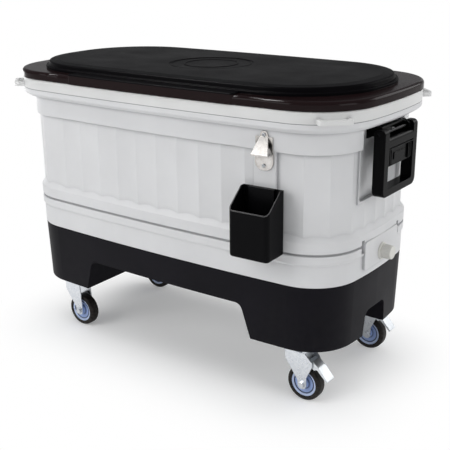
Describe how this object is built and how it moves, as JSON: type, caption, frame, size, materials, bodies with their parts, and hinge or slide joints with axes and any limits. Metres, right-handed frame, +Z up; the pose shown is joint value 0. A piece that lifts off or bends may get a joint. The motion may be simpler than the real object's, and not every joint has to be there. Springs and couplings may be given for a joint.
{
  "type": "rolling cooler bar",
  "caption": "Fluted insulated party cooler on a wheeled base, with lift-off lid, swinging end handles, screw drain, bottle opener and slide-on cap catcher.",
  "frame": {"origin": "on the floor, under the middle of the whole object's box", "axes": "+X along the tub towards the drain end, +Y to the back, +Z up; the front with the opener faces -Y"},
  "size_m": [1.176, 0.6274, 0.8333],
  "materials": {
    "shell_white": "satin",
    "liner_white": "satin",
    "foam": "matte",
    "base_charcoal": "matte",
    "lid_black": "gloss",
    "drain_white": "satin",
    "gasket": "matte",
    "handle_black": "gloss",
    "opener_steel": "polished",
    "catcher_black": "satin",
    "zinc": "satin",
    "hub_blue": "satin",
    "tyre_black": "matte"
  },
  "bodies": {
    "tub": {"outer_shell": "shell_white", "inner_liner": "liner_white", "insulation_foam": "foam", "rolling_base": "base_charcoal", "base_screws": "zinc", "drain_fitting": "drain_white", "drain_nut": "drain_white", "handle_bracket_screws": "zinc", "bottle_opener": "opener_steel", "opener_screws": "opener_steel", "catcher_hanger": "catcher_black", "catcher_screws": "zinc", "caster_bolts": "zinc", "caster_kingpins": "zinc", "handle_bracket_left": "handle_black", "handle_pin_left": "zinc", "handle_bracket_right": "handle_black", "handle_pin_right": "zinc", "caster_plate_front_left": "zinc", "caster_plate_front_right": "zinc", "caster_plate_rear_left": "zinc", "caster_plate_rear_right": "zinc"},
    "lid": {"lid_shell": "lid_black", "lid_liner": "liner_white", "lid_foam": "foam"},
    "handle_left": {"side_handle_left": "handle_black"},
    "handle_right": {"side_handle_right": "handle_black"},
    "catcher": {"cap_catcher": "catcher_black"},
    "drain_seal": {"drain_gasket": "gasket"},
    "drain_screw_cap": {"drain_cap": "drain_white"},
    "swivel_front_left": {"caster_fork_front_left": "zinc", "caster_axle_front_left": "zinc"},
    "wheel_front_left": {"wheel_hub_front_left": "hub_blue", "tyre_front_left": "tyre_black"},
    "swivel_front_right": {"caster_fork_front_right": "zinc", "caster_axle_front_right": "zinc"},
    "wheel_front_right": {"wheel_hub_front_right": "hub_blue", "tyre_front_right": "tyre_black"},
    "brake_front_right": {"brake_pedal_front_right": "zinc"},
    "swivel_rear_left": {"caster_fork_rear_left": "zinc", "caster_axle_rear_left": "zinc"},
    "wheel_rear_left": {"wheel_hub_rear_left": "hub_blue", "tyre_rear_left": "tyre_black"},
    "swivel_rear_right": {"caster_fork_rear_right": "zinc", "caster_axle_rear_right": "zinc"},
    "wheel_rear_right": {"wheel_hub_rear_right": "hub_blue", "tyre_rear_right": "tyre_black"},
    "brake_rear_right": {"brake_pedal_rear_right": "zinc"}
  },
  "joints": [
    {"name": "lid_lift", "type": "slide", "parent": "tub", "child": "lid", "axis": [0, 0, 1], "range_m": [0, 0.25]},
    {"name": "handle_left_swing", "type": "hinge", "parent": "tub", "child": "handle_left", "pos_m": [-0.57, 0.01874, 0.713], "axis": [0, 1, 0], "range_deg": [0, 95]},
    {"name": "handle_right_swing", "type": "hinge", "parent": "tub", "child": "handle_right", "pos_m": [0.57, 0.01874, 0.713], "axis": [0, -1, 0], "range_deg": [0, 95]},
    {"name": "catcher_lift", "type": "slide", "parent": "tub", "child": "catcher", "axis": [0, 0, 1], "range_m": [0, 0.033]},
    {"name": "drain_cap_travel", "type": "slide", "parent": "tub", "child": "drain_seal", "axis": [1, 0, 0], "range_m": [0, 0.018]},
    {"name": "drain_cap_turn", "type": "hinge", "parent": "drain_seal", "child": "drain_screw_cap", "pos_m": [0.58, 0.01874, 0.3866], "axis": [1, 0, 0], "range_deg": [0, 1080]},
    {"name": "swivel_front_left_turn", "type": "hinge", "parent": "tub", "child": "swivel_front_left", "pos_m": [-0.41, -0.16526, 0.14], "axis": [0, 0, 1], "continuous": true},
    {"name": "wheel_front_left_spin", "type": "hinge", "parent": "swivel_front_left", "child": "wheel_front_left", "pos_m": [-0.382, -0.16526, 0.05], "axis": [0, 1, 0], "continuous": true},
    {"name": "swivel_front_right_turn", "type": "hinge", "parent": "tub", "child": "swivel_front_right", "pos_m": [0.41, -0.16526, 0.14], "axis": [0, 0, 1], "continuous": true},
    {"name": "wheel_front_right_spin", "type": "hinge", "parent": "swivel_front_right", "child": "wheel_front_right", "pos_m": [0.438, -0.16526, 0.05], "axis": [0, 1, 0], "continuous": true},
    {"name": "brake_front_right_press", "type": "hinge", "parent": "swivel_front_right", "child": "brake_front_right", "pos_m": [0.458, -0.16526, 0.116], "axis": [0, 1, 0], "range_deg": [0, 20]},
    {"name": "swivel_rear_left_turn", "type": "hinge", "parent": "tub", "child": "swivel_rear_left", "pos_m": [-0.41, 0.20274, 0.14], "axis": [0, 0, 1], "continuous": true},
    {"name": "wheel_rear_left_spin", "type": "hinge", "parent": "swivel_rear_left", "child": "wheel_rear_left", "pos_m": [-0.382, 0.20274, 0.05], "axis": [0, 1, 0], "continuous": true},
    {"name": "swivel_rear_right_turn", "type": "hinge", "parent": "tub", "child": "swivel_rear_right", "pos_m": [0.41, 0.20274, 0.14], "axis": [0, 0, 1], "continuous": true},
    {"name": "wheel_rear_right_spin", "type": "hinge", "parent": "swivel_rear_right", "child": "wheel_rear_right", "pos_m": [0.438, 0.20274, 0.05], "axis": [0, 1, 0], "continuous": true},
    {"name": "brake_rear_right_press", "type": "hinge", "parent": "swivel_rear_right", "child": "brake_rear_right", "pos_m": [0.458, 0.20274, 0.116], "axis": [0, 1, 0], "range_deg": [0, 20]}
  ],
  "couplings": [
    {"joint": "drain_cap_travel", "follows": "drain_cap_turn", "m_per_rad": 0.00095493}
  ]
}
